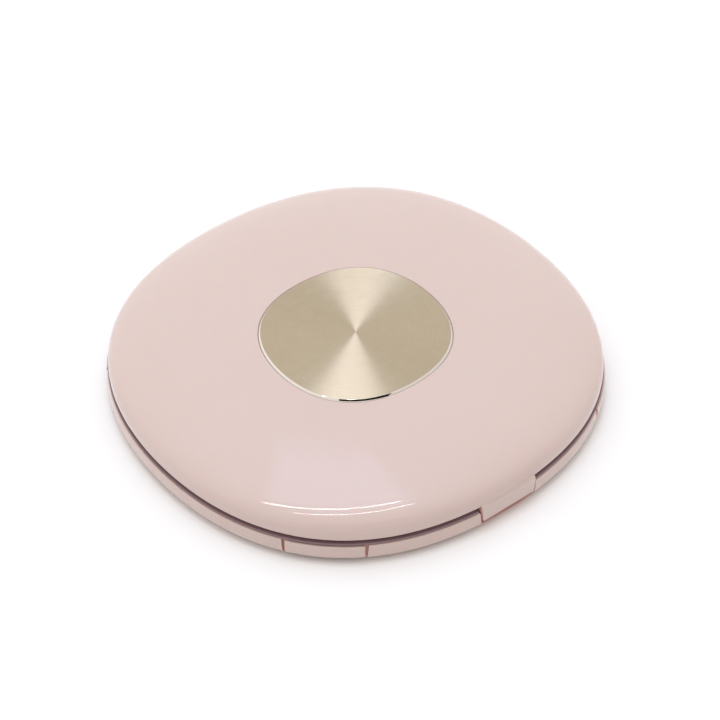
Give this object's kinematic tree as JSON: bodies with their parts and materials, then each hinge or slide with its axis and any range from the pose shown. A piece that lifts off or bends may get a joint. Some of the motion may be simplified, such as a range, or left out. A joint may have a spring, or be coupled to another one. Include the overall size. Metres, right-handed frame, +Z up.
{
  "type": "pocket wet palette",
  "caption": "Slim clamshell wet palette with a soft square outline: domed lid, inlaid spun metal disc, hinge, push-button catch, and a lift-out water tray with sponge and paper.",
  "frame": {"origin": "bottom centre of the closed case, on the surface that its feet stand on", "axes": "+Z up through the lid, +Y towards the hinge, -Y towards the push button, +X to the right as seen from the button's side"},
  "size_m": [0.0848, 0.0834, 0.011],
  "materials": {
    "rose_lacquer": "gloss, pale rose",
    "rose_moulding": "fine satin, pale rose",
    "plum_moulding": "fine satin, dark plum",
    "champagne_aluminium": "spun face with a bright cut chamfer",
    "double_sided_tape": "tissue tape",
    "white_plate": "gloss white",
    "plum_silicone": "matte silicone",
    "steel": "drawn",
    "cellulose_sponge": "open cells",
    "palette_paper": "smooth paper",
    "grey_rubber": "matte"
  },
  "bodies": {
    "base": {"base_shell": "rose_lacquer", "inner_deck": "plum_moulding", "hinge_pin": "steel", "water_tray": "rose_moulding", "sponge": "cellulose_sponge", "palette_paper": "palette_paper", "seal_ring": "plum_silicone", "button_spring_left": "steel", "button_spring_right": "steel", "corner_clip_rear_right": "rose_lacquer", "corner_clip_front_right": "rose_lacquer", "corner_clip_front_left": "rose_lacquer", "corner_clip_rear_left": "rose_lacquer", "foot_rear_right": "grey_rubber", "foot_front_right": "grey_rubber", "foot_front_left": "grey_rubber", "foot_rear_left": "grey_rubber"},
    "lid": {"lid_shell": "rose_lacquer", "medallion": "champagne_aluminium", "medallion_adhesive": "double_sided_tape", "mixing_plate": "white_plate"},
    "button": {"push_button": "rose_lacquer"}
  },
  "joints": [
    {"name": "lid_hinge", "type": "hinge", "parent": "base", "child": "lid", "pos_m": [0, 0.04, 0.0032], "axis": [-1, 0, 0], "range_deg": [0, 100]},
    {"name": "button_slide", "type": "slide", "parent": "base", "child": "button", "axis": [0, 1, 0], "range_m": [0, 0.001], "stiffness_N_per_m": 300, "springref_m": -0.001, "deforming": ["button_spring_left", "button_spring_right"]}
  ]
}
